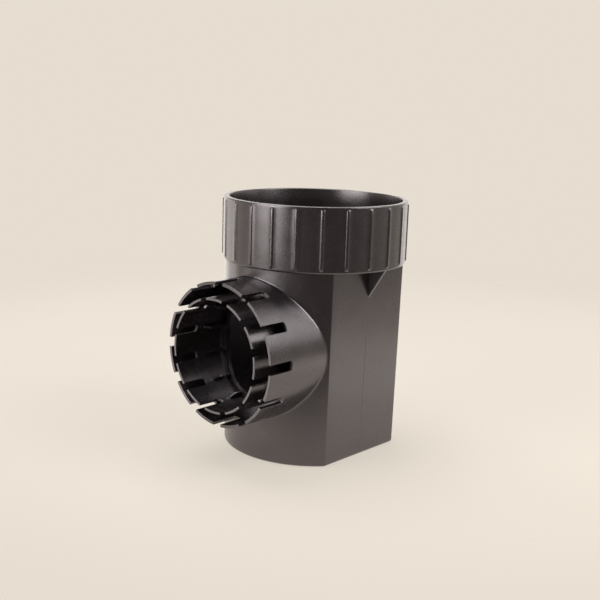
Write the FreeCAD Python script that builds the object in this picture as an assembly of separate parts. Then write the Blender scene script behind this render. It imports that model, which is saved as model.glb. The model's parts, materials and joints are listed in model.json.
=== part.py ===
"""Round yard-drain catch basin: one plastic moulding with a riser socket and a two-size pipe outlet.

Millimetres, +Z up. The origin is the centre of the base, on the axis of the sump. The outlet points along +X
and the two side flats face +Y and -Y.
"""
import FreeCAD, Part
import math
import os

V = FreeCAD.Vector
UP = V(0, 0, 1)

# Overall
HEIGHT = 233.5
WALL = 3.5

# Sump: a slightly tapered round body with two flat sides
BASE_R = 81.6
BODY_TOP_R = 82.8
BASE_FLAT = 63.8
TOP_FLAT = 67.2
FLAT_EDGE_ROUND = 2.0
BASE_BEVEL = 1.2

# Riser socket: the ribbed ring round the top
RING_BOTTOM = 176.0
RING_R = 83.8
SOCKET_R = 80.0
RIM_BEVEL = 0.9
RING_FOOT_BEVEL = 1.6
RIB_COUNT = 24
RIB_WIDTH = 3.2
RIB_PROUD = 2.4
RIB_SEAT = 1.0
RIB_FOOT_GAP = 2.4
RIB_FOOT_SLOPE = 2.2
RIB_HEAD_GAP = 1.2
RIB_HEAD_SLOPE = 1.6

# Gussets: one fin under the ring's overhang, in the middle of each flat
GUSSET_THICK = 3.0
GUSSET_DROP = 25.5
GUSSET_REACH = 83.0

# Outlet: two rings of spring fingers round one bore
OUTLET_Z = 103.1
BORE_R = 44.0
OUTER_MOUTH_X = 121.1
OUTER_RING_R = 64.4
OUTER_WALL = 2.7
JOINT_BEVEL = 2.0
INNER_MOUTH_X = 126.8
INNER_RING_R = 51.4
INNER_BORE_R = 48.95
INNER_SEAT_X = 84.0
INNER_DRAFT = 0.25
FINGER_COUNT = 12
OUTER_SLOT_WIDTH = 8.8
OUTER_SLOT_END_X = 95.3
INNER_SLOT_WIDTH = 6.8
INNER_SLOT_END_X = 103.0
SLOT_CORNER_ROUND = 2.4

# Centring ribs inside the inner ring, in line with its slots
GUIDE_THICK = 2.0
GUIDE_CREST_R = 45.0
GUIDE_CREST_X = 89.5
GUIDE_TIP_X = 95.0
GUIDE_TIP_GAP = 1.0

# Widest mismatch of a coordinate when an edge is picked by its place
NEAR = 0.01

# Worked out from the sizes above
RING_FLOOR = RING_BOTTOM + WALL
ROOT_X = 0.5 * BASE_R
PAST_MOUTH_X = INNER_MOUTH_X + 10.0
OUTER_BORE_R = OUTER_RING_R - OUTER_WALL
BETWEEN_RINGS_R = 0.5 * (INNER_RING_R + OUTER_BORE_R)
SLOT_PITCH = 360.0 / FINGER_COUNT
OUTLET_CENTRE = V(0, 0, OUTLET_Z)
OUTLET_AXIS = V(1, 0, 0)


def prism(points, direction):
    """Solid swept from the polygon through the points, along the given vector."""
    return Part.Face(Part.makePolygon(points + points[:1])).extrude(direction)


def turned_about(shape, centre, axis, count, first_angle=0.0):
    """Copies of a shape at even angles about an axis."""
    copies = []
    for number in range(count):
        copy = shape.copy()
        copy.rotate(centre, axis, first_angle + number * 360.0 / count)
        copies.append(copy)
    return copies


def flatted_cone(base_r, top_r, base_flat, top_flat, bottom, top):
    """Tapered round body cut by two side flats, with the flats' upright edges rounded."""
    cone = Part.makeCone(base_r, top_r, top - bottom, V(0, 0, bottom))
    cone.rotate(V(), UP, 90)
    reach = 2.0 * top_r
    section = [
        V(-reach, -base_flat, bottom),
        V(-reach, base_flat, bottom),
        V(-reach, top_flat, top),
        V(-reach, -top_flat, top),
    ]
    body = cone.common(prism(section, V(2.0 * reach, 0, 0)))
    upright = [edge for edge in body.Edges if edge.BoundBox.ZLength > 0.9 * (top - bottom)]
    return body.makeFillet(FLAT_EDGE_ROUND, upright)


def outlet_turning(profile):
    """Solid turned about the outlet axis from a profile of (x, radius) points."""
    points = [V(x, 0, OUTLET_Z + radius) for x, radius in profile]
    points.append(V(profile[-1][0], 0, OUTLET_Z))
    points.append(V(profile[0][0], 0, OUTLET_Z))
    return Part.Face(Part.makePolygon(points + points[:1])).revolve(OUTLET_CENTRE, OUTLET_AXIS, 360)


def sump_form():
    """Outside of the sump with the outlet's outer tube standing on it, and a bevel round their joint."""
    body = flatted_cone(BASE_R, BODY_TOP_R, BASE_FLAT, TOP_FLAT, 0.0, RING_BOTTOM)
    underside = [edge for edge in body.Edges if edge.BoundBox.ZMax < NEAR]
    body = body.makeChamfer(BASE_BEVEL, underside)
    tube = outlet_turning([(ROOT_X, OUTER_RING_R), (OUTER_MOUTH_X, OUTER_RING_R)])
    form = body.fuse(tube)
    joint = []
    for edge in form.Edges:
        on_sump = edge.BoundBox.XMax < BODY_TOP_R
        on_tube = edge.BoundBox.XMin > ROOT_X and edge.BoundBox.ZLength > OUTER_RING_R
        middle = edge.valueAt(0.5 * (edge.FirstParameter + edge.LastParameter))
        off_axis = math.hypot(middle.y, middle.z - OUTLET_Z)
        if on_sump and on_tube and abs(off_axis - OUTER_RING_R) < NEAR:
            joint.append(edge)
    return body, form.makeChamfer(JOINT_BEVEL, joint)


def sump_hollow():
    """Inside of the sump, up through the floor of the socket ring."""
    return flatted_cone(
        BASE_R - WALL, BODY_TOP_R - WALL, BASE_FLAT - WALL, TOP_FLAT - WALL, WALL, RING_FLOOR
    )


def socket_ring():
    """Socket ring with a flat floor, a bevelled rim and a bevelled lower edge."""
    section = [
        V(0, 0, RING_BOTTOM),
        V(RING_R - RING_FOOT_BEVEL, 0, RING_BOTTOM),
        V(RING_R, 0, RING_BOTTOM + RING_FOOT_BEVEL),
        V(RING_R, 0, HEIGHT - RIM_BEVEL),
        V(RING_R - RIM_BEVEL, 0, HEIGHT),
        V(SOCKET_R + RIM_BEVEL, 0, HEIGHT),
        V(SOCKET_R, 0, HEIGHT - RIM_BEVEL),
        V(SOCKET_R, 0, RING_FLOOR),
        V(0, 0, RING_FLOOR),
    ]
    return Part.Face(Part.makePolygon(section + section[:1])).revolve(V(), UP, 360)


def ring_rib():
    """One upright rib of the socket ring, sloped at both ends."""
    root = RING_R - RIB_SEAT
    crest = RING_R + RIB_PROUD
    foot = RING_BOTTOM + RIB_FOOT_GAP
    head = HEIGHT - RIB_HEAD_GAP
    buried = RIB_SEAT / RIB_PROUD
    side = [
        V(root, -0.5 * RIB_WIDTH, foot - buried * RIB_FOOT_SLOPE),
        V(crest, -0.5 * RIB_WIDTH, foot + RIB_FOOT_SLOPE),
        V(crest, -0.5 * RIB_WIDTH, head - RIB_HEAD_SLOPE),
        V(root, -0.5 * RIB_WIDTH, head + buried * RIB_HEAD_SLOPE),
    ]
    return prism(side, V(0, RIB_WIDTH, 0))


def gusset(side):
    """Triangular fin from the flat to the underside of the ring; side is 1 for +Y and -1 for -Y."""
    foot = BASE_FLAT + (TOP_FLAT - BASE_FLAT) * (RING_BOTTOM - GUSSET_DROP) / RING_BOTTOM
    seat = foot - 0.5 * WALL
    half = 0.5 * GUSSET_THICK
    section = [
        V(-half, side * seat, RING_BOTTOM - GUSSET_DROP),
        V(-half, side * foot, RING_BOTTOM - GUSSET_DROP),
        V(-half, side * GUSSET_REACH, RING_BOTTOM + 0.5 * WALL),
        V(-half, side * seat, RING_BOTTOM + 0.5 * WALL),
    ]
    return prism(section, V(GUSSET_THICK, 0, 0))


def finger_slot(width, end_x, inner_r, outer_r):
    """Cutter for one finger slot on the +Y side: open at the mouth, with two rounded corners at its end."""
    start = V(end_x, inner_r, OUTLET_Z - 0.5 * width)
    slot = Part.makeBox(PAST_MOUTH_X - end_x, outer_r - inner_r, width, start)
    corners = []
    for edge in slot.Edges:
        if edge.BoundBox.XMax < end_x + NEAR and edge.BoundBox.YLength > 0.5 * (outer_r - inner_r):
            corners.append(edge)
    return slot.makeFillet(SLOT_CORNER_ROUND, corners)


def guide_rib():
    """One centring rib on the +Y side, from the sump wall to a sloped lead-in."""
    half = 0.5 * GUIDE_THICK
    root = 0.5 * (INNER_BORE_R + INNER_RING_R)
    run = GUIDE_TIP_X - GUIDE_CREST_X
    tip = GUIDE_TIP_X + run * (root - INNER_BORE_R) / (INNER_BORE_R - GUIDE_CREST_R)
    side = [
        V(ROOT_X, root, OUTLET_Z - half),
        V(ROOT_X, GUIDE_CREST_R, OUTLET_Z - half),
        V(GUIDE_CREST_X, GUIDE_CREST_R, OUTLET_Z - half),
        V(tip, root, OUTLET_Z - half),
    ]
    return prism(side, V(0, 0, GUIDE_THICK))


def catch_basin():
    """The whole moulding."""
    body, form = sump_form()
    hollow = sump_hollow()
    ribs = turned_about(ring_rib(), V(), UP, RIB_COUNT)

    # The inner ring: plain outside between the sump and the slots, plain inside beyond the centring ribs.
    inner_ring = outlet_turning([
        (ROOT_X, INNER_RING_R + 2.0 * INNER_DRAFT),
        (INNER_SEAT_X, INNER_RING_R),
        (INNER_SLOT_END_X, INNER_RING_R),
        (INNER_MOUTH_X, INNER_RING_R - INNER_DRAFT),
    ])
    pipe_seat = outlet_turning([
        (ROOT_X, INNER_BORE_R - 2.0 * INNER_DRAFT),
        (GUIDE_TIP_X + GUIDE_TIP_GAP, INNER_BORE_R),
        (PAST_MOUTH_X, INNER_BORE_R),
    ])
    first_inner = 0.5 * SLOT_PITCH
    guides = turned_about(guide_rib(), OUTLET_CENTRE, OUTLET_AXIS, FINGER_COUNT, first_inner)
    bore = outlet_turning([(0.0, BORE_R), (PAST_MOUTH_X, BORE_R)])

    # The space between the rings and the pipe seat both stop at the outside of the sump.
    outer_seat = outlet_turning([(ROOT_X, OUTER_BORE_R), (PAST_MOUTH_X, OUTER_BORE_R)])
    outer_slot = finger_slot(OUTER_SLOT_WIDTH, OUTER_SLOT_END_X, BETWEEN_RINGS_R, OUTER_RING_R + WALL)
    inner_slot = finger_slot(INNER_SLOT_WIDTH, INNER_SLOT_END_X, GUIDE_CREST_R, BETWEEN_RINGS_R)
    slots = turned_about(outer_slot, OUTLET_CENTRE, OUTLET_AXIS, FINGER_COUNT)
    slots += turned_about(inner_slot, OUTLET_CENTRE, OUTLET_AXIS, FINGER_COUNT, first_inner)

    basin = form.cut(outer_seat.cut(body))
    basin = basin.fuse(inner_ring)
    passage = pipe_seat.cut([body] + guides)
    basin = basin.cut([passage, bore, hollow] + slots)
    upper = socket_ring().fuse(ribs).cut(hollow)
    basin = basin.fuse([upper, gusset(1), gusset(-1)])
    return basin.removeSplitter()


os.makedirs("parts", exist_ok=True)
basin = catch_basin()
print("valid", basin.isValid(), "solids", len(basin.Solids), "faces", len(basin.Faces))
print("volume cm3", basin.Volume / 1000.0, basin.BoundBox)
basin.exportStep("parts/basin_body.step")
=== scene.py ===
"""Looks of the catch basin: its moulding as one closed skin, its satin black plastic, and a plain studio."""

import json
import math

import bpy
import numpy as np
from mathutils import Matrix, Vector


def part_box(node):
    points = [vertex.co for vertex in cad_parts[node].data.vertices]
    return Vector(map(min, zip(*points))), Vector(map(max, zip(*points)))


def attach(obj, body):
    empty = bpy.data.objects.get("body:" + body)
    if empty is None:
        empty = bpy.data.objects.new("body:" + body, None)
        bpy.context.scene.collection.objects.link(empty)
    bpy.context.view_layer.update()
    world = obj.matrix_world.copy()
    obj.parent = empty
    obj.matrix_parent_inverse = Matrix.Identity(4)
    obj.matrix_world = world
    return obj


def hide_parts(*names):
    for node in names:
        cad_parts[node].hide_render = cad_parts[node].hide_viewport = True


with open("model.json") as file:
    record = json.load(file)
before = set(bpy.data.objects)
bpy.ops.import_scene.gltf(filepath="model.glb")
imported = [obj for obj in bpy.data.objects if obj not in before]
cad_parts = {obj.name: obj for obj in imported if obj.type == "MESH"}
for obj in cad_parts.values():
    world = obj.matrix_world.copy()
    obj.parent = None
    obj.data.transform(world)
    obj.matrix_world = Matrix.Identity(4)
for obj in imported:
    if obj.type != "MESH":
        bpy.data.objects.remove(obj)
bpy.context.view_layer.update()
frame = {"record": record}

# The moulding's sizes are in millimetres, and its skin is turned into metres when its mesh is made
MM = 0.001
FULL_TURN = 2.0 * math.pi
QUARTER_TURN = 0.5 * math.pi
AXIS = np.array([0.0, 0.0, 1.0])
mounts = {mount["name"]: mount for mount in frame["record"]["mounts"]}
node_high = np.array(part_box("basin_body")[1]) / MM

# Sump: a tapered round body with two side flats
BASE_R = 81.0
BODY_TOP_R = 83.1
BASE_FLAT = 64.8
TOP_FLAT = 66.9
WALL = 3.5
FLAT_EDGE_ROUND = 1.0
INSIDE_EDGE_ROUND = 2.5
BASE_ROUND = 2.6
SUMP_FLOOR_ROUND = 2.0

# Riser socket: the ribbed ring round the top
HEIGHT = node_high[2]
RING_BOTTOM = 176.0
RING_FLOOR = RING_BOTTOM + WALL
RING_R = 85.3
SOCKET_R = mounts["riser_socket"]["dims"]["r_mm"]
RING_FOOT_DEPTH = 1.2
RING_FOOT_RISE = 1.7
RIM_ROUND = 0.7
RIB_COUNT = 24
RIB_PROUD = node_high[1] - RING_R
RIB_TURN = math.radians(0.8)
RIB_CREST_HALF = 0.1
RIB_ROUND = 2.0
RIB_FOOT_ROUND = 0.3
RIB_FLANK_SLOPE = math.radians(50.0)
RIB_FOOT_GAP = 2.2
RIB_FOOT_Z = RING_BOTTOM + RIB_FOOT_GAP
RIB_FOOT_SLOPE = 2.0
RIB_HEAD_GAP = 1.8
RIB_HEAD_Z = HEIGHT - RIB_HEAD_GAP
RIB_HEAD_SLOPE = 1.4

# Gussets: one fin under the ring's overhang on each flat, a little behind the flat's middle
GUSSET_HALF = 1.5
GUSSET_SHIFT = 1.4
GUSSET_REACH = 83.8
GUSSET_DROP = 25.5
GUSSET_FOOT_Z = RING_BOTTOM - GUSSET_DROP

# Outlet: two rings of spring fingers, one inside the other, round one bore
OUTLET_Z = mounts["outlet_small_pipe"]["pos_m"][2] / MM
BORE_R = 44.0
JOINT_ROUND_TOP = 0.9
JOINT_ROUND_SIDE = 4.5
SLOT_CORNER_ROUND = 2.4
OUTER_RING_R = 64.4
OUTER_BORE_R = mounts["outlet_large_pipe_outside"]["dims"]["r_mm"]
OUTER_MOUTH_X = 121.1
OUTER_SLOT_HALF = 4.4
OUTER_SLOT_END_X = 95.3
INNER_RING_R = mounts["outlet_large_pipe"]["dims"]["r_mm"]
INNER_BORE_R = mounts["outlet_small_pipe"]["dims"]["r_mm"]
INNER_MOUTH_X = node_high[0]
INNER_SLOT_HALF = 3.4
INNER_SLOT_END_X = 103.0
INNER_SEAT_X = 84.0
INNER_ROOT_DRAFT = 0.1
INNER_ROOT_R = INNER_RING_R + INNER_ROOT_DRAFT
INNER_TIP_DRAFT = 0.25
INNER_TIP_R = INNER_RING_R - INNER_TIP_DRAFT
INNER_LEDGE_DRAFT = 0.2
INNER_LEDGE_R = INNER_BORE_R - INNER_LEDGE_DRAFT

# Guide ribs inside the inner ring, one in line with each slot
GUIDE_CREST_R = 45.0
GUIDE_CREST_X = 89.5
GUIDE_TIP_X = 95.0
GUIDE_WIDTH_SHARE = 0.95

# Edges of fingers and gussets: those that turn by more than EDGE_TURN are rounded
EDGE_WIDTH = 0.3
EDGE_TURN = math.radians(42.0)
EDGE_SEGMENTS = 2

# Counts of steps: round the outlet there are FINGERS pitches of STEPS_A_PITCH columns
FINGERS = 12
PITCH = FULL_TURN / FINGERS
SLOT_SHARES = np.array([0.0, 0.45, 0.9, 1.0])
SLOT_CORNER_STEPS = 4
FINGER_STEPS = 10
HALF_SLOT_STEPS = len(SLOT_SHARES) - 1 + SLOT_CORNER_STEPS
STEPS_A_PITCH = 2 * HALF_SLOT_STEPS + FINGER_STEPS
AROUND = FINGERS * STEPS_A_PITCH
COLUMN = FULL_TURN / AROUND
EVEN_ANGLES = np.arange(AROUND) * FULL_TURN / AROUND
FINGER_ROWS = 4
TUBE_STEPS = 6
LEDGE_STEPS = 4
ROOT_STEPS = 3

# Counts of steps on the sump; a corner's number is its column about the outlet
CORNER_UP = 38
CORNER_DOWN = 46
INSIDE_CORNER_UP = 40
INSIDE_CORNER_DOWN = 47
WINDOW_STEPS = 14
ROUND_STEPS = 4
FLAT_STEPS = 7
BACK_STEPS = 40
FIN_COLUMN = ROUND_STEPS + FLAT_STEPS

# Fillet round the outlet: its steps, and how far out and how often halving looks for its place
JOINT_STEPS = 8
JOINT_SEARCH = 1.5
JOINT_HALVINGS = 40

# Counts of steps on the socket ring
RIB_STEPS = 5
PANEL_STEPS = 5
SLOPE_STEPS = 5
RIB_MIDDLE_STEPS = 6
SOCKET_STEPS = 4

# Numbers smaller than this count as nothing
TINY = 1e-9
TINY_DIGITS = 9

# Points in one small cell are one point; the offset keeps round numbers away from the cells' edges
WELD_CELL = 0.0001
WELD_OFFSET = 0.137

# Satin black plastic: its darkest and lightest colour, its range of roughness, and its shine
PLASTIC_DARK = (0.0110, 0.0078, 0.0084, 1.0)
PLASTIC_LIGHT = (0.0165, 0.0120, 0.0128, 1.0)
PLASTIC_ROUGHNESS = (0.235, 0.285)
PLASTIC_IOR = 1.66
PLASTIC_SHINE = 1.0
PLASTIC_SHINE_TINT = (1.0, 0.93, 0.985, 1.0)

# Patterns in the plastic: how many clouds to the metre, the steps of finer detail, and that detail's strength
CLOUD = (16.0, 3.0, 0.5)
SMEAR = (60.0, 4.0, 0.6)
GRAIN = (1400.0, 2.0, 0.5)
WAVE = (28.0, 1.0, 0.5)
PATTERN_RANGE = (0.3, 0.7)
SMEAR_IN_TONE = 0.35
CLOUD_IN_TONE = 0.65
SMEAR_IN_GLOSS = 0.85
GRAIN_IN_GLOSS = 0.15
GRAIN_DEPTH = 0.000002
WAVE_DEPTH = 0.00025

# Faint parting line down the middle of each flat: sizes in metres, then how much painted seam shade darkens
# it and how much duller it is
PARTING_HALF = 0.0005
PARTING_CORE = 0.4 * PARTING_HALF
PARTING_FADE = 0.001
PARTING_SIDE = 0.060
PARTING_TOP = RING_BOTTOM * MM - PARTING_FADE
PARTING_DEPTH = 0.00005
PARTING_SEAM_SHADE = 0.5
PARTING_DULL = 0.35

# Studio, in metres: a pale floor that fades out into a pale horizon, with dim light higher up
PALE = (0.791, 0.723, 0.631, 1.0)
DIM = (0.06, 0.06, 0.063, 1.0)
HORIZON = (0.09, 0.30)
FLOOR_COLOUR = (0.76, 0.711, 0.65, 1.0)
FLOOR_Z = -0.0002
FLOOR_R = 0.9
FLOOR_FADE = (0.42, 0.78)
FLOOR_CENTRE = (-0.31, -0.19, 0.0)
FLOOR_GLOW = 0.65
FLOOR_GLOW_IN_SHINE = 0.72
FLOOR_RINGS = 8
FLOOR_SECTORS = 64

# Dark screen, hidden from the camera; SCREEN_EDGE is the cosine of the angle between its middle and an edge
SCREEN_TURN = math.radians(58.0)
SCREEN_EDGE = -0.95
SCREEN_R = 2.2
SCREEN_HEIGHT = 2.0
SCREEN_DENSE = 0.9
SCREEN_COLOUR = (0.03, 0.03, 0.03, 1.0)
SCREEN_COLUMNS = 48
SCREEN_ROWS = 4

# Soft lights: azimuth and elevation in degrees, then distance, width and height in metres, and power in watts
LIGHT_COLOUR = (1.0, 0.98, 0.94)
LIGHT_TARGET = Vector((0.02, 0.0, 0.11))
SOFT_LIGHTS = {
    "left_front": (-14.0, 18.0, 1.6, 1.05, 1.2, 18.5),
    "right_back": (112.0, 35.0, 1.6, 0.9, 1.2, 17.5),
    "back_fill": (147.0, 25.0, 1.6, 0.8, 1.1, 3.2),
    "top": (250.0, 72.0, 1.7, 1.4, 1.4, 29.0),
    "left_rim": (278.0, -2.0, 1.6, 0.5, 0.5, 0.8),
}

# Lights that only show in the shine and leave matt surfaces unlit
SHINE_LIGHTS = {
    "behind_left": (248.0, 10.3, 0.478, 0.38, 0.41, 0.52),
    "behind_right": (191.0, 10.3, 0.478, 0.38, 0.41, 0.52),
    "outlet_fill": (-20.7, -9.0, 0.192, 0.18, 0.12, 0.06),
    "flat_fill": (125.0, -18.0, 0.257, 0.42, 0.07, 0.018),
}

# Camera: place in metres, turn in degrees, lens and sensor in millimetres
CAMERA_PLACE = (0.67864, 0.59984, 0.32664)
CAMERA_TURN = (77.731, -1.719, 133.106)
CAMERA_LENS = 58.66
CAMERA_SENSOR = 36.0
CAMERA_SHIFT = (0.01453, 0.0094)
CAMERA_NEAR = 0.05


class Skin:
    """Grids and strips of points that meet at shared edges, welded into one surface.

    In a grid the columns go round and the rows go along the section: from the centre of the base up the
    outside, over the rim and down the inside, or from the sump out along a tube and back. So every face looks
    outwards.
    """

    def __init__(self):
        self.points = []
        self.faces = []
        self.soft = []
        self.count = 0

    def add(self, points, faces, soft):
        """Points and the faces between them; soft marks points whose sharp outer edges get a small round."""
        self.points.append(points)
        self.faces.append(faces + self.count)
        self.soft.append(np.full(len(points), soft))
        self.count += len(points)

    def grid(self, points, closed=False, soft=False, skip=None):
        """Quads between neighbouring points in rows and columns; skip marks cells to leave open."""
        rows, columns = points.shape[:2]
        index = np.arange(rows * columns).reshape(rows, columns)
        right = np.roll(index, -1, axis=1)
        quads = np.stack([index[:-1], right[:-1], right[1:], index[1:]], axis=-1)
        if not closed:
            quads = quads[:, :-1]
        if skip is not None:
            quads = quads[~skip]
        self.add(points.reshape(-1, 3), quads.reshape(-1, 4), soft)

    def flat_ring(self, first, second):
        """Triangles between two closed flat loops about the Z axis.

        Each edge of a loop is joined to the point of the other loop that lies across from its middle.
        """
        loops = []
        middles = []
        for loop in (first, second):
            angle = np.arctan2(loop[:, 1], loop[:, 0]) % FULL_TURN
            order = np.argsort(angle)
            angle = angle[order]
            loops.append(loop[order])
            middles.append(0.5 * (angle + np.append(angle[1:], angle[0] + FULL_TURN)))
        near = np.arange(len(first))
        far = np.arange(len(second)) + len(first)
        across = far[np.searchsorted(middles[1], middles[0]) % len(far)]
        back = near[np.searchsorted(middles[0], middles[1], side="right") % len(near)]
        near_edges = np.stack([near, np.roll(near, -1), across, across], axis=-1)
        far_edges = np.stack([np.roll(far, -1), far, back, back], axis=-1)
        self.add(np.concatenate(loops), np.concatenate([near_edges, far_edges]), False)

    def mesh(self, name):
        """One mesh in metres, with points that coincide merged and collapsed quads made triangles.

        With it goes the mark of each merged point that is soft in any of its grids.
        """
        points = np.concatenate(self.points)
        soft = np.concatenate(self.soft)
        faces = np.concatenate(self.faces)
        cells = np.floor(points / WELD_CELL + WELD_OFFSET)
        keys, first, merged = np.unique(cells, axis=0, return_index=True, return_inverse=True)
        faces = merged.ravel()[faces]
        same = faces == np.roll(faces, -1, axis=1)
        quads = faces[~same.any(axis=1)]
        collapsed = faces[same.sum(axis=1) == 1]
        keep = ~(collapsed == np.roll(collapsed, -1, axis=1))
        triangles = collapsed[keep].reshape(-1, 3)
        mesh = bpy.data.meshes.new(name)
        mesh.from_pydata(points[first] * MM, [], quads.tolist() + triangles.tolist())
        merged_soft = np.zeros(len(keys), dtype=bool)
        np.logical_or.at(merged_soft, merged.ravel(), soft)
        return mesh, merged_soft


def points_at(x, y, z):
    """Points from their coordinates, each of them a number or an array that is spread over the others."""
    return np.stack(np.broadcast_arrays(x, y, z), axis=-1)


def ramp(start, end, steps):
    """Rows that go evenly from one loop of values to another."""
    share = np.linspace(0.0, 1.0, steps + 1)[:, None]
    return start + (end - start) * share


def sump_radius(z):
    """Radius of the sump's outside: it grows evenly from the base to the ring."""
    return BASE_R + (BODY_TOP_R - BASE_R) * z / RING_BOTTOM


def sump_flat(z):
    """Distance of the side flats from the middle: it grows evenly from the base to the ring."""
    return BASE_FLAT + (TOP_FLAT - BASE_FLAT) * z / RING_BOTTOM


def edge_circle(z, inset, rounding):
    """Centre of the rounding between round wall and flat, and the angle where it leaves the round wall."""
    across = sump_flat(z) - inset - rounding
    along = np.sqrt((sump_radius(z) - inset - rounding) ** 2 - across ** 2)
    return along, across, np.arctan2(across, along)


def round_wall(share, z, inset, rounding):
    """Point of the round front wall at a share from -1 to 1 of the way to its two rounded edges."""
    angle = share * edge_circle(z, inset, rounding)[2]
    radius = sump_radius(z) - inset
    return points_at(radius * np.cos(angle), radius * np.sin(angle), z)


def wall_share(points, inset, rounding):
    """The share and height on the round front wall of points that lie on it."""
    z = points[..., 2]
    return np.arctan2(points[..., 1], points[..., 0]) / edge_circle(z, inset, rounding)[2], z


def wall_rows(start, end, inset, rounding):
    """Rows on the round front wall from one loop to another, each loop given as its shares and heights."""
    share = ramp(start[0], end[0], WINDOW_STEPS)
    z = ramp(start[1], end[1], WINDOW_STEPS)
    return round_wall(share, z, inset, rounding)


def side_walls(z, inset, rounding):
    """Rows of the outline from one front edge round the back to the other.

    Half of it is the rounding's arc, the flat to its fin, the fin's thickness, the rest of the flat, the
    second rounding and half the back arc. The other half is its mirror image.
    """
    along, across, leaving = (value[:, None] for value in edge_circle(z, inset, rounding))
    sweep = leaving + (QUARTER_TURN - leaving) * np.linspace(0.0, 1.0, ROUND_STEPS + 1)
    arc_x = along + rounding * np.cos(sweep)
    arc_y = across + rounding * np.sin(sweep)
    run = np.linspace(1.0, 0.0, FLAT_STEPS + 1)[1:]
    front_x = along * run + (GUSSET_HALF - GUSSET_SHIFT) * (1.0 - run)
    back_x = along * run + (GUSSET_HALF + GUSSET_SHIFT) * (1.0 - run)
    flat_y = np.broadcast_to(across + rounding, front_x.shape)
    turn = math.pi - leaving + leaving * np.linspace(0.0, 1.0, BACK_STEPS // 2 + 1)[1:]
    radius = (sump_radius(z) - inset)[:, None]
    behind_x = np.concatenate([-back_x[:, ::-1], -arc_x[:, ::-1], radius * np.cos(turn)], axis=1)
    quarter_y = np.concatenate([arc_y, flat_y], axis=1)
    half_x = np.concatenate([arc_x, front_x, behind_x], axis=1)
    half_y = np.concatenate([quarter_y, quarter_y[:, ::-1], radius * np.sin(turn)], axis=1)
    x = np.concatenate([half_x, half_x[:, -2::-1]], axis=1)
    y = np.concatenate([half_y, -half_y[:, -2::-1]], axis=1)
    return points_at(x, y, z[:, None])


def window_border(low_z, high_z, corner_up, corner_down):
    """Shares and heights of a rectangle on the front wall, one point for each even angle about the outlet.

    Beside the outlet the height follows the tangent of the angle, and above and below it the share follows
    the tangent's inverse. The two corner numbers are the columns at which the rectangle's corners lie.
    """
    cosine = np.cos(EVEN_ANGLES)
    sine = np.sin(EVEN_ANGLES)
    upper = sine > 0.0
    corner = np.where(upper, math.tan(corner_up * COLUMN), math.tan(corner_down * COLUMN))
    reach = np.where(upper, high_z - OUTLET_Z, OUTLET_Z - low_z)
    slope = np.abs(sine) / np.maximum(np.abs(cosine), TINY)
    beside = np.sign(np.round(cosine, TINY_DIGITS))
    above = np.sign(np.round(sine, TINY_DIGITS))
    share = beside * np.minimum(1.0, corner / np.maximum(slope, TINY))
    height = OUTLET_Z + above * reach * np.minimum(1.0, slope / corner)
    return share, height


def border_columns(corner_up, corner_down):
    """Columns of a window's border: up its +Y side, and along its top and its foot from -Y to +Y."""
    side = np.arange(-corner_down, corner_up + 1)
    top = np.arange(AROUND // 2 - corner_up, corner_up - 1, -1)
    foot = np.arange(AROUND // 2 + corner_down, AROUND - corner_down + 1)
    return side, top, foot


def foot_rows(rounding):
    """Heights and insets of the rows of a rounded lower edge: a quarter circle up from the flat bottom."""
    turn = np.linspace(0.0, QUARTER_TURN, ROUND_STEPS + 1)
    return rounding * (1.0 - np.sin(turn))[::-1], rounding * (1.0 - np.cos(turn))[::-1]


def add_gusset(skin, near, far, side):
    """A fin: two sides as fans from its outer corners under the ring, and the sloped edge between them.

    The two columns of the wall where its sides stand go from its foot up to the ring. The corners come back.
    """
    corner_near = np.array([near[-1, 0], side * GUSSET_REACH, RING_BOTTOM])
    corner_far = np.array([far[-1, 0], side * GUSSET_REACH, RING_BOTTOM])
    corners = np.stack([corner_near, corner_far])
    skin.grid(np.stack([near, np.broadcast_to(corner_near, near.shape)], axis=1), soft=True)
    skin.grid(np.stack([np.broadcast_to(corner_far, far.shape), far], axis=1), soft=True)
    skin.grid(np.stack([np.stack([near[0], far[0]]), corners]), soft=True)
    return corners


def add_outside(skin, window):
    """Outside of the sump, apart from the window in its front wall, with its base and gussets.

    The outline's rows go up from the rounded base. What comes back is the loop that meets the ring.
    """
    side, top, foot = border_columns(CORNER_UP, CORNER_DOWN)
    shares, heights = window
    rise, inset = foot_rows(BASE_ROUND)
    z = np.concatenate([rise[:-1], heights[side]])
    insets = np.concatenate([inset[:-1], np.zeros(len(side))])
    walls = side_walls(z, insets, FLAT_EDGE_ROUND)
    front = round_wall(shares[foot], rise[:, None], inset[:, None], FLAT_EDGE_ROUND)
    columns = walls.shape[1] - 1
    fins = [FIN_COLUMN, columns - 1 - FIN_COLUMN]
    fin_row = np.argmin(np.abs(z - GUSSET_FOOT_Z))
    behind_fins = np.zeros((len(z) - 1, columns), dtype=bool)
    behind_fins[fin_row:, fins] = True
    skin.grid(walls, skip=behind_fins)
    skin.grid(front)
    for edge in (walls[0], front[0]):
        skin.grid(np.stack([edge * AXIS, edge]))

    # The loop under the ring goes out round each gusset
    loop = [walls[-1, :FIN_COLUMN + 1]]
    for column, last, outwards in zip(fins, (fins[1], columns), (1.0, -1.0)):
        loop.append(add_gusset(skin, walls[fin_row:, column], walls[fin_row:, column + 1], outwards))
        loop.append(walls[-1, column + 1:last + 1])
    loop.append(round_wall(shares[top], RING_BOTTOM, 0.0, FLAT_EDGE_ROUND)[1:-1])
    return np.concatenate(loop)


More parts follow.
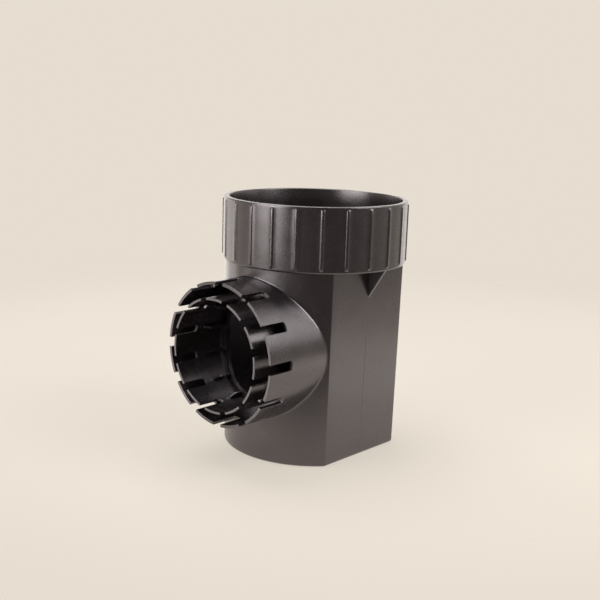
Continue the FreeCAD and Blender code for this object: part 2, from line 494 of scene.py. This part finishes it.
def add_inside(skin, window):
    """Inside of the sump, apart from the window in its front wall.

    It is the outline set in by the wall's thickness, in rows that go down to the rounded floor. What comes
    back is the loop at the socket's floor.
    """
    side, top, foot = border_columns(INSIDE_CORNER_UP, INSIDE_CORNER_DOWN)
    shares, heights = window
    rise, inset = foot_rows(SUMP_FLOOR_ROUND)
    z = np.concatenate([WALL + rise[:-1], heights[side]])[::-1]
    insets = np.concatenate([WALL + inset[:-1], np.full(len(side), WALL)])[::-1]
    walls = side_walls(z, insets, INSIDE_EDGE_ROUND)
    front_z = (WALL + rise)[::-1, None]
    front = round_wall(shares[foot], front_z, (WALL + inset)[::-1, None], INSIDE_EDGE_ROUND)
    skin.grid(walls)
    skin.grid(front)
    for edge in (walls[-1], front[-1]):
        skin.grid(np.stack([edge, edge * AXIS]))
    arch = round_wall(shares[top], RING_FLOOR, WALL, INSIDE_EDGE_ROUND)
    return np.concatenate([walls[0], arch[1:-1]])


def about_outlet(x, radius, angle):
    """Points at a distance along the outlet, a radius from its axis and an angle from +Y towards +Z."""
    return points_at(x, radius * np.cos(angle), OUTLET_Z + radius * np.sin(angle))


def skin_x(radius, angle, inset=0.0):
    """Where a line along the outlet, at a radius and an angle, meets the round wall."""
    y = radius * np.cos(angle)
    z = OUTLET_Z + radius * np.sin(angle)
    return np.sqrt((sump_radius(z) - inset) ** 2 - y ** 2)


def tube_rows(radius, start, end):
    """Rows along a round tube from one loop to another, each loop given as its distances and angles."""
    return about_outlet(ramp(start[0], end[0], TUBE_STEPS), radius, ramp(start[1], end[1], TUBE_STEPS))


def slot_section(half_width):
    """Across half a slot: distances from its middle, and how far its end rises there in the corner's arc."""
    flat = half_width - SLOT_CORNER_ROUND
    turn = np.linspace(0.0, QUARTER_TURN, SLOT_CORNER_STEPS + 1)[1:]
    across = np.concatenate([flat * SLOT_SHARES, flat + SLOT_CORNER_ROUND * np.sin(turn)])
    rise = np.concatenate([0.0 * SLOT_SHARES, SLOT_CORNER_ROUND * (1.0 - np.cos(turn))])
    return across, rise


def first_column(staggered):
    """The column in the middle of a ring's first slot: a staggered ring's slots are half a pitch on."""
    return STEPS_A_PITCH // 2 if staggered else 0


def all_round(one_pitch, staggered):
    """Values of one pitch, from the middle of its slot, repeated round the outlet."""
    return np.roll(np.tile(one_pitch, FINGERS), first_column(staggered))


def pitch_columns(half_width, staggered):
    """Each column's distance from the middle of its slot, no number on a finger, and its slot end's rise."""
    across, rise = slot_section(half_width)
    one_across = np.concatenate([across, np.full(FINGER_STEPS - 1, np.nan), -across[:0:-1]])
    one_rise = np.concatenate([rise, np.full(FINGER_STEPS - 1, rise[-1]), rise[:0:-1]])
    return all_round(one_across, staggered), all_round(one_rise, staggered)


def column_angles(radius, half_width, staggered):
    """Angles of the columns at a radius, turned from their even places to run beside the slots' walls."""
    slot = np.arcsin(slot_section(half_width)[0] / radius)
    finger = np.linspace(slot[-1], PITCH - slot[-1], FINGER_STEPS + 1)[1:-1]
    shift = np.concatenate([slot, finger, PITCH - slot[:0:-1]]) - EVEN_ANGLES[:STEPS_A_PITCH]
    return EVEN_ANGLES + all_round(shift, staggered)


def joint_round():
    """Fillet between the front wall and the outer tube.

    In each plane through the outlet's axis it is an arc that touches the tube and the wall. Its radius grows
    from the top and foot to the sides with the squared cosine of the angle. Its centre stands off the tube by
    the radius, and halving steps find the point of the wall whose normal leads to that centre.
    """
    cosine = np.cos(EVEN_ANGLES)
    sine = np.sin(EVEN_ANGLES)
    rounding = JOINT_ROUND_TOP + (JOINT_ROUND_SIDE - JOINT_ROUND_TOP) * cosine ** 2
    low = np.full(AROUND, OUTER_RING_R)
    high = low + JOINT_SEARCH * rounding
    growth = (BODY_TOP_R - BASE_R) / RING_BOTTOM
    for _ in range(JOINT_HALVINGS):
        radius = 0.5 * (low + high)
        x = skin_x(radius, EVEN_ANGLES)
        wall = sump_radius(OUTLET_Z + radius * sine)
        slope = (wall * growth * sine - radius * cosine ** 2) / x
        outward = -slope / np.sqrt(1.0 + slope ** 2)
        beyond = radius + rounding * outward > OUTER_RING_R + rounding
        high = np.where(beyond, radius, high)
        low = np.where(beyond, low, radius)
    centre_x = x + rounding / np.sqrt(1.0 + slope ** 2)
    start = np.arctan2(x - centre_x, radius - OUTER_RING_R - rounding) % FULL_TURN
    sweep = ramp(start, math.pi, JOINT_STEPS)
    arc_r = OUTER_RING_R + rounding + rounding * np.cos(sweep)
    return about_outlet(centre_x + rounding * np.sin(sweep), arc_r, EVEN_ANGLES)


def add_fingers(skin, staggered, half_width, root_x, mouth_x, outer_r, tip_outer_r, inner_r):
    """The free ends of one ring's fingers and the ends of its slots.

    A finger is a closed section, its outer arc, side, inner arc and side, carried along the outlet, with a
    flat tip. A slot's end is the strip between the outer and the inner surface where the ring stops.
    """
    slot_x = root_x + pitch_columns(half_width, staggered)[1]
    along = ramp(root_x + SLOT_CORNER_ROUND, mouth_x, FINGER_ROWS)
    taper = ramp(outer_r, tip_outer_r, FINGER_ROWS)
    outer_angle = column_angles(outer_r, half_width, staggered)
    inner_angle = column_angles(inner_r, half_width, staggered)
    outer = about_outlet(along, taper, outer_angle)
    inner = about_outlet(along, inner_r, inner_angle)
    outer_end = about_outlet(slot_x, outer_r, outer_angle)
    inner_end = about_outlet(slot_x, inner_r, inner_angle)
    for finger in range(FINGERS):
        wall = first_column(staggered) + finger * STEPS_A_PITCH + HALF_SLOT_STEPS
        columns = np.arange(wall, wall + FINGER_STEPS + 1) % AROUND
        slot = np.arange(wall - 2 * HALF_SLOT_STEPS, wall + 1) % AROUND
        section = np.concatenate([outer[:, columns], inner[:, columns[::-1]]], axis=1)
        skin.grid(section, closed=True, soft=True)
        skin.grid(np.stack([outer[-1, columns], inner[-1, columns]]), soft=True)
        skin.grid(np.stack([outer_end[slot], inner_end[slot]]), soft=True)


def add_outer_ring(skin, fillet):
    """Outer tube: outside from the fillet to the slots, fingers, and inside back to the round wall."""
    slot_x = OUTER_SLOT_END_X + pitch_columns(OUTER_SLOT_HALF, False)[1]
    outside = column_angles(OUTER_RING_R, OUTER_SLOT_HALF, False)
    inside = column_angles(OUTER_BORE_R, OUTER_SLOT_HALF, False)
    wall_x = skin_x(OUTER_BORE_R, EVEN_ANGLES)
    outside_rows = tube_rows(OUTER_RING_R, (fillet[-1, :, 0], EVEN_ANGLES), (slot_x, outside))
    inside_rows = tube_rows(OUTER_BORE_R, (slot_x, inside), (wall_x, EVEN_ANGLES))
    skin.grid(outside_rows, closed=True, soft=True)
    add_fingers(
        skin, False, OUTER_SLOT_HALF, OUTER_SLOT_END_X, OUTER_MOUTH_X,
        OUTER_RING_R, OUTER_RING_R, OUTER_BORE_R,
    )
    skin.grid(inside_rows, closed=True, soft=True)


def add_inner_ring(skin, slot_x):
    """Inner tube's outside, from a slightly wider root on the round wall to the slots, and its fingers."""
    root = about_outlet(
        ramp(skin_x(INNER_ROOT_R, EVEN_ANGLES), INNER_SEAT_X, ROOT_STEPS),
        ramp(INNER_ROOT_R, INNER_RING_R, ROOT_STEPS),
        EVEN_ANGLES,
    )
    outside = column_angles(INNER_RING_R, INNER_SLOT_HALF, True)
    outside_rows = tube_rows(INNER_RING_R, (INNER_SEAT_X, EVEN_ANGLES), (slot_x, outside))
    skin.grid(np.concatenate([root, outside_rows[1:]]), closed=True, soft=True)
    add_fingers(
        skin, True, INNER_SLOT_HALF, INNER_SLOT_END_X, INNER_MOUTH_X,
        INNER_RING_R, INNER_TIP_R, INNER_BORE_R,
    )


def add_pipe_seat(skin, slot_x, inside_window):
    """Inside of the inner ring with its guide ribs, the ledge round the bore, the bore, and the wall inside.

    The ribs are columns of the same grid that stand in towards the axis, up to a slope at their outer end.
    """
    across = pitch_columns(INNER_SLOT_HALF, True)[0]
    on_finger = np.isnan(across)
    beside = np.nan_to_num(across, nan=0.0)
    on_rib = ~on_finger & (np.abs(beside) < GUIDE_WIDTH_SHARE * (INNER_SLOT_HALF - SLOT_CORNER_ROUND))
    stops = np.array([0.5 * (INNER_SLOT_END_X + GUIDE_TIP_X), GUIDE_TIP_X, GUIDE_CREST_X, INNER_SEAT_X])
    depth = np.clip((GUIDE_TIP_X - stops) / (GUIDE_TIP_X - GUIDE_CREST_X), 0.0, 1.0)[:, None]
    radii = INNER_BORE_R - np.where(on_rib, (INNER_BORE_R - GUIDE_CREST_R) * depth, 0.0)
    ledge_r = np.where(on_rib, GUIDE_CREST_R, INNER_LEDGE_R)
    even = column_angles(INNER_BORE_R, INNER_SLOT_HALF, True)
    middle = np.round(even / PITCH - 0.5) * PITCH + 0.5 * PITCH

    def turned(radius):
        """Angles of the columns at a radius, kept beside the ribs' flanks."""
        return np.where(on_finger, even, middle + np.arcsin(beside / radius))

    ledge_angle = turned(ledge_r)
    bore_angle = turned(BORE_R)
    rows = [about_outlet(slot_x, INNER_BORE_R, turned(INNER_BORE_R))]
    for stop, radius in zip(stops, radii):
        rows.append(about_outlet(stop, radius, turned(radius)))
    rows.append(about_outlet(skin_x(ledge_r, ledge_angle), ledge_r, ledge_angle))
    for inset in (0.0, WALL):
        rows.append(about_outlet(skin_x(BORE_R, bore_angle, inset), BORE_R, bore_angle))
    skin.grid(np.stack(rows[:2]), closed=True, soft=True)
    skin.grid(np.stack(rows[1:]), closed=True)
    edge = wall_share(rows[-1], WALL, INSIDE_EDGE_ROUND)
    skin.grid(wall_rows(edge, inside_window, WALL, INSIDE_EDGE_ROUND), closed=True)


def add_outlet(skin, window, inside_window):
    """The outlet, from the window in the front wall out over the two rings and in through the bore.

    Between the rings there is a ledge, which is the sump's own round wall.
    """
    fillet = joint_round()
    edge = wall_share(fillet[0], 0.0, FLAT_EDGE_ROUND)
    skin.grid(wall_rows(window, edge, 0.0, FLAT_EDGE_ROUND), closed=True)
    skin.grid(fillet, closed=True)
    add_outer_ring(skin, fillet)
    ledge_r = ramp(OUTER_BORE_R, INNER_ROOT_R, LEDGE_STEPS)
    skin.grid(about_outlet(skin_x(ledge_r, EVEN_ANGLES), ledge_r, EVEN_ANGLES), closed=True)
    inner_slot_x = INNER_SLOT_END_X + pitch_columns(INNER_SLOT_HALF, True)[1]
    add_inner_ring(skin, inner_slot_x)
    add_pipe_seat(skin, inner_slot_x, inside_window)


def rib_section():
    """Across one rib: distances from its middle and heights.

    It has a narrow crest, round edges, sloped flanks and a round foot, which has half as many steps.
    """
    turn = np.linspace(0.0, RIB_FLANK_SLOPE, RIB_STEPS + 1)
    foot_turn = turn[::-2]
    crest_across = RIB_CREST_HALF + RIB_ROUND * np.sin(turn)
    crest_height = RIB_PROUD - RIB_ROUND * (1.0 - np.cos(turn))
    foot_height = RIB_FOOT_ROUND * (1.0 - np.cos(foot_turn))
    flank = crest_across[-1] + (crest_height[-1] - foot_height[0]) / math.tan(RIB_FLANK_SLOPE)
    foot_across = flank + RIB_FOOT_ROUND * (np.sin(foot_turn[0]) - np.sin(foot_turn))
    half = np.concatenate([crest_across, foot_across])
    height = np.concatenate([crest_height, foot_height])
    return np.concatenate([-half[::-1], [0.0], half]), np.concatenate([height[::-1], [RIB_PROUD], height])


def add_ring(skin, wall_loop, hollow_loop):
    """The socket ring: a section carried round the axis, from its foot up the outside and down the socket.

    A rib lifts the outside by its height across the rib, times a smooth rise and fall along the rib.
    """
    across, height = rib_section()
    pitch = FULL_TURN / RIB_COUNT
    rib = across / RING_R
    panel = np.linspace(rib[-1], pitch + rib[0], PANEL_STEPS + 1)[1:-1]
    angle = (RIB_TURN + np.arange(RIB_COUNT)[:, None] * pitch + np.concatenate([rib, panel])).ravel()
    lift = np.tile(np.concatenate([height, 0.0 * panel]), RIB_COUNT)

    turn = np.linspace(0.0, QUARTER_TURN, ROUND_STEPS + 1)
    rise = np.linspace(0.0, 1.0, SLOPE_STEPS + 1)
    swell = 0.5 - 0.5 * np.cos(math.pi * rise)
    foot_r = RING_R - RING_FOOT_DEPTH * (1.0 - np.sin(turn))
    foot_z = RING_BOTTOM + RING_FOOT_RISE * (1.0 - np.cos(turn))
    low_z = RIB_FOOT_Z + RIB_FOOT_SLOPE * rise
    high_z = RIB_HEAD_Z - RIB_HEAD_SLOPE * rise[::-1]
    middle_z = np.linspace(low_z[-1], high_z[0], RIB_MIDDLE_STEPS + 1)[1:-1]
    rib_z = np.concatenate([low_z, middle_z, high_z])
    rib_share = np.concatenate([swell, np.ones(len(middle_z)), swell[::-1]])
    outer_rim_r = RING_R - RIM_ROUND * (1.0 - np.cos(turn))
    outer_rim_z = HEIGHT - RIM_ROUND * (1.0 - np.sin(turn))
    inner_rim_r = SOCKET_R + RIM_ROUND * (1.0 - np.sin(turn))
    inner_rim_z = HEIGHT - RIM_ROUND * (1.0 - np.cos(turn))
    wall_r = np.full(len(rib_z), RING_R)
    socket_r = np.full(SOCKET_STEPS, SOCKET_R)
    socket_z = np.linspace(HEIGHT - RIM_ROUND, RING_FLOOR, SOCKET_STEPS + 1)[1:]
    radius = np.concatenate([foot_r, wall_r, outer_rim_r, inner_rim_r, socket_r])
    z = np.concatenate([foot_z, rib_z, outer_rim_z, inner_rim_z, socket_z])
    share = np.concatenate([0.0 * foot_z, rib_share, np.zeros(len(z) - len(foot_z) - len(rib_z))])
    distance = radius[:, None] + share[:, None] * lift
    points = points_at(distance * np.cos(angle), distance * np.sin(angle), z[:, None])
    skin.grid(points, closed=True)
    skin.flat_ring(wall_loop, points[0])
    skin.flat_ring(points[-1], hollow_loop)


def mesh_values(items, key, kind, columns=1):
    """One value, or one row of values, for each face, face corner or edge of a mesh."""
    values = np.zeros(columns * len(items), dtype=kind)
    items.foreach_get(key, values)
    return values.reshape(-1, columns) if columns > 1 else values


def soften_edges(piece, soft):
    """Small round on the fingers' and gussets' outer edges: a bevel where two faces turn sharply outwards."""
    mesh = piece.data
    corner_count = mesh_values(mesh.polygons, "loop_total", np.int32)
    normals = mesh_values(mesh.polygons, "normal", float, 3)
    centres = mesh_values(mesh.polygons, "center", float, 3)
    edges = mesh_values(mesh.loops, "edge_index", np.int32)
    ends = mesh_values(mesh.edges, "vertices", np.int32, 2)
    owner = np.repeat(np.arange(len(corner_count)), corner_count)
    first, second = owner[np.argsort(edges, kind="stable")].reshape(-1, 2).T
    cosine = np.einsum("ij,ij->i", normals[first], normals[second])
    outward = np.einsum("ij,ij->i", normals[first], centres[second] - centres[first]) < 0.0
    both_soft = soft[ends].all(axis=1)
    weight = (outward & both_soft & (cosine < math.cos(EDGE_TURN))).astype(np.float32)
    mesh.attributes.new("bevel_weight_edge", "FLOAT", "EDGE").data.foreach_set("value", weight)
    mesh.set_sharp_from_angle(angle=EDGE_TURN)
    bevel = piece.modifiers.new("edges", "BEVEL")
    bevel.limit_method = "WEIGHT"
    bevel.width = EDGE_WIDTH * MM
    bevel.segments = EDGE_SEGMENTS
    bevel.use_clamp_overlap = False
    bevel.harden_normals = True


def new_object(name, data):
    """An object of the scene that holds a mesh, a lamp or a camera."""
    holder = bpy.data.objects.new(name, data)
    bpy.context.scene.collection.objects.link(holder)
    return holder


def moulding():
    """The whole basin as one closed skin, which stands for its solid."""
    skin = Skin()
    window = window_border(BASE_ROUND, RING_BOTTOM, CORNER_UP, CORNER_DOWN)
    inside_foot_z = WALL + SUMP_FLOOR_ROUND
    inside_window = window_border(inside_foot_z, RING_FLOOR, INSIDE_CORNER_UP, INSIDE_CORNER_DOWN)
    wall_loop = add_outside(skin, window)
    hollow_loop = add_inside(skin, inside_window)
    add_outlet(skin, window, inside_window)
    add_ring(skin, wall_loop, hollow_loop)
    mesh, soft = skin.mesh("basin_skin")
    mesh.polygons.foreach_set("use_smooth", np.ones(len(mesh.polygons), dtype=bool))
    piece = new_object("basin_skin", mesh)
    soften_edges(piece, soft)
    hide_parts("basin_body")
    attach(piece, "root")
    return piece


def new_node(tree, kind, inputs=None, **settings):
    """One node with its settings; each input is a plain value or a link from another node's socket."""
    node = tree.nodes.new(kind)
    for key, value in settings.items():
        setattr(node, key, value)
    for socket, value in (inputs or {}).items():
        if isinstance(value, bpy.types.NodeSocket):
            tree.links.new(value, node.inputs[socket])
        else:
            node.inputs[socket].default_value = value
    return node


def math_node(tree, operation, first, second=0.0, third=0.0):
    """One step of arithmetic on surface values."""
    return new_node(tree, "ShaderNodeMath", {0: first, 1: second, 2: third}, operation=operation).outputs[0]


def weighed(tree, first, first_share, second, second_share):
    """Sum of two surface values, each times its share."""
    rest = math_node(tree, "MULTIPLY", second, second_share)
    return math_node(tree, "MULTIPLY_ADD", first, first_share, rest)


def less(tree, value, amount, strength):
    """A surface value less another one times its strength."""
    return math_node(tree, "SUBTRACT", value, math_node(tree, "MULTIPLY", amount, strength))


def spread(tree, value, low, high, to_low, to_high, kind="SMOOTHSTEP"):
    """A value stretched from one range to another and held at the ends."""
    inputs = {"Value": value, "From Min": low, "From Max": high, "To Min": to_low, "To Max": to_high}
    return new_node(tree, "ShaderNodeMapRange", inputs, interpolation_type=kind).outputs["Result"]


def noise(tree, place, scale, detail, roughness):
    """Soft clouds of a given count to the metre, from 0 to 1."""
    inputs = {"Vector": place, "Scale": scale, "Detail": detail, "Roughness": roughness}
    return new_node(tree, "ShaderNodeTexNoise", inputs).outputs["Fac"]


def between(tree, share, first, second):
    """A colour between two, by a share from 0 to 1."""
    inputs = {0: share, "A": first, "B": second}
    return new_node(tree, "ShaderNodeMix", inputs, data_type="RGBA").outputs["Result"]


def blank_material(name):
    """A new material, its tree of nodes, and the tree's one socket so far: the place on the surface."""
    material = bpy.data.materials.new(name)
    material.use_nodes = True
    tree = material.node_tree
    tree.nodes.clear()
    return material, tree, new_node(tree, "ShaderNodeTexCoord").outputs["Object"]


def parting_line(tree, place):
    """Strength of the parting line: 1 in a thin strip down the middle of each flat under the ring, else 0."""
    split = new_node(tree, "ShaderNodeSeparateXYZ", {0: place})
    from_middle = math_node(tree, "ABSOLUTE", split.outputs["X"])
    sideways = math_node(tree, "ABSOLUTE", split.outputs["Y"])
    line = spread(tree, from_middle, PARTING_CORE, PARTING_HALF, 1.0, 0.0)
    on_flat = spread(tree, sideways, PARTING_SIDE, PARTING_SIDE + PARTING_FADE, 0.0, 1.0)
    under_ring = spread(tree, split.outputs["Z"], PARTING_TOP, PARTING_TOP + PARTING_FADE, 1.0, 0.0)
    return math_node(tree, "MULTIPLY", line, math_node(tree, "MULTIPLY", on_flat, under_ring))


def moulded_plastic():
    """Satin black plastic: warm charcoal with slow clouds of tone and gloss, fine grain and slight waves."""
    material, tree, place = blank_material("satin_black_plastic")
    cloud = noise(tree, place, *CLOUD)
    smear = noise(tree, place, *SMEAR)
    grain = noise(tree, place, *GRAIN)
    wave = noise(tree, place, *WAVE)
    parting = parting_line(tree, place)
    tone = weighed(tree, smear, SMEAR_IN_TONE, cloud, CLOUD_IN_TONE)
    # The parting line's darker tone is painted shade of the seam, the shade a fine groove would catch
    tone = less(tree, spread(tree, tone, *PATTERN_RANGE, 0.0, 1.0), parting, PARTING_SEAM_SHADE)
    gloss = weighed(tree, smear, SMEAR_IN_GLOSS, grain, GRAIN_IN_GLOSS)
    roughness = spread(tree, gloss, *PATTERN_RANGE, *PLASTIC_ROUGHNESS)
    height = less(tree, weighed(tree, grain, GRAIN_DEPTH, wave, WAVE_DEPTH), parting, PARTING_DEPTH)
    bump = new_node(tree, "ShaderNodeBump", {"Height": height, "Strength": 1.0, "Distance": 1.0})
    shader = new_node(tree, "ShaderNodeBsdfPrincipled", {
        "Base Color": between(tree, tone, PLASTIC_DARK, PLASTIC_LIGHT),
        "Roughness": math_node(tree, "MULTIPLY_ADD", parting, PARTING_DULL, roughness),
        "Normal": bump.outputs["Normal"],
        "IOR": PLASTIC_IOR,
        "Specular IOR Level": PLASTIC_SHINE,
        "Specular Tint": PLASTIC_SHINE_TINT,
    })
    output = new_node(tree, "ShaderNodeOutputMaterial", {"Surface": shader.outputs["BSDF"]})
    output.is_active_output = True
    return material


def stage_surface(name, points, closed=False):
    """A surface of the set from a grid of points in metres, its material's tree and the place on it."""
    skin = Skin()
    skin.grid(points / MM, closed=closed)
    surface = new_object(name, skin.mesh(name)[0])
    material, tree, place = blank_material(name)
    surface.data.materials.append(material)
    return surface, tree, place


def pale_floor():
    """Flat disc, rings of growing radius about its centre, that fades out towards its edge.

    The camera and the shine see it partly as an even glow and partly as matt ground, which takes the shadow.
    """
    radius = np.linspace(0.0, 1.0, FLOOR_RINGS + 1)[:, None] * FLOOR_R
    angle = np.linspace(0.0, FULL_TURN, FLOOR_SECTORS + 1)[:-1]
    points = points_at(radius * np.cos(angle), radius * np.sin(angle), FLOOR_Z) + np.array(FLOOR_CENTRE)
    floor, tree, place = stage_surface("pale_floor", points[::-1], closed=True)
    away = new_node(tree, "ShaderNodeVectorMath", {0: place, 1: FLOOR_CENTRE}, operation="DISTANCE")
    fade = spread(tree, away.outputs["Value"], *FLOOR_FADE, 0.0, 1.0)
    path = new_node(tree, "ShaderNodeLightPath")
    seen = math_node(tree, "MULTIPLY", path.outputs["Is Camera Ray"], FLOOR_GLOW)
    seen = math_node(tree, "MULTIPLY_ADD", path.outputs["Is Glossy Ray"], FLOOR_GLOW_IN_SHINE, seen)
    seen = math_node(tree, "MULTIPLY_ADD", path.outputs["Is Transmission Ray"], FLOOR_GLOW, seen)
    matt = new_node(tree, "ShaderNodeBsdfDiffuse", {"Color": FLOOR_COLOUR})
    glow = new_node(tree, "ShaderNodeEmission", {"Color": PALE, "Strength": 1.0})
    clear = new_node(tree, "ShaderNodeBsdfTransparent")
    ground = new_node(tree, "ShaderNodeMixShader", {0: seen, 1: matt.outputs[0], 2: glow.outputs[0]})
    mixed = new_node(tree, "ShaderNodeMixShader", {0: fade, 1: ground.outputs[0], 2: clear.outputs[0]})
    new_node(tree, "ShaderNodeOutputMaterial", {"Surface": mixed.outputs[0]})


def pale_horizon():
    """World that is pale up to just above the horizon and dim higher up, like a low backdrop."""
    world = bpy.data.worlds.new("pale_horizon")
    world.use_nodes = True
    tree = world.node_tree
    tree.nodes.clear()
    direction = new_node(tree, "ShaderNodeTexCoord").outputs["Generated"]
    up = new_node(tree, "ShaderNodeSeparateXYZ", {0: direction}).outputs["Z"]
    colour = between(tree, spread(tree, up, *HORIZON, 0.0, 1.0), PALE, DIM)
    sky = new_node(tree, "ShaderNodeBackground", {"Color": colour, "Strength": 1.0})
    new_node(tree, "ShaderNodeOutputWorld", {"Surface": sky.outputs[0]})
    bpy.context.scene.world = world


def dark_screen():
    """Part of an upright cylinder beyond the lights, as a dark cloth that is denser towards its middle."""
    angle = SCREEN_TURN + np.linspace(-1.0, 1.0, SCREEN_COLUMNS + 1) * math.acos(SCREEN_EDGE)
    height = np.linspace(-0.5, 0.5, SCREEN_ROWS + 1)[:, None] * SCREEN_HEIGHT
    points = points_at(SCREEN_R * np.cos(angle), SCREEN_R * np.sin(angle), height)
    screen, tree, place = stage_surface("dark_screen", points)
    screen.visible_camera = False
    middle = (math.cos(SCREEN_TURN) / SCREEN_R, math.sin(SCREEN_TURN) / SCREEN_R, 0.0)
    near = new_node(tree, "ShaderNodeVectorMath", {0: place, 1: middle}, operation="DOT_PRODUCT")
    dense = spread(tree, near.outputs["Value"], SCREEN_EDGE, 1.0, 0.0, SCREEN_DENSE, kind="LINEAR")
    cloth = new_node(tree, "ShaderNodeBsdfDiffuse", {"Color": SCREEN_COLOUR})
    clear = new_node(tree, "ShaderNodeBsdfTransparent")
    mixed = new_node(tree, "ShaderNodeMixShader", {0: dense, 1: clear.outputs[0], 2: cloth.outputs[0]})
    new_node(tree, "ShaderNodeOutputMaterial", {"Surface": mixed.outputs[0]})


def softbox(name, azimuth, elevation, distance, width, height, power, shine_only=False):
    """Rectangular area light that faces the basin from a direction given in degrees."""
    lamp = bpy.data.lights.new(name, "AREA")
    lamp.shape = "RECTANGLE"
    lamp.size = width
    lamp.size_y = height
    lamp.energy = power
    lamp.color = LIGHT_COLOUR
    turn = math.radians(azimuth)
    lift = math.radians(elevation)
    towards = Vector((math.cos(lift) * math.cos(turn), math.cos(lift) * math.sin(turn), math.sin(lift)))
    holder = new_object(name, lamp)
    holder.location = LIGHT_TARGET + distance * towards
    holder.rotation_euler = towards.to_track_quat("Z", "Y").to_euler()
    holder.visible_camera = False
    holder.visible_diffuse = not shine_only


def photo_camera():
    """Camera at the photo's place and angle, with its picture centre moved as in the photo."""
    camera = bpy.data.cameras.new("photo_camera")
    camera.lens = CAMERA_LENS
    camera.sensor_width = CAMERA_SENSOR
    camera.shift_x, camera.shift_y = CAMERA_SHIFT
    camera.clip_start = CAMERA_NEAR
    holder = new_object("photo_camera", camera)
    holder.location = CAMERA_PLACE
    holder.rotation_euler = [math.radians(turn) for turn in CAMERA_TURN]
    bpy.context.scene.camera = holder


basin = moulding()
basin.data.materials.append(moulded_plastic())
pale_floor()
pale_horizon()
dark_screen()
for light, settings in SOFT_LIGHTS.items():
    softbox(light, *settings)
for light, settings in SHINE_LIGHTS.items():
    softbox(light, *settings, shine_only=True)
photo_camera()
bpy.context.scene.view_settings.view_transform = "Standard"
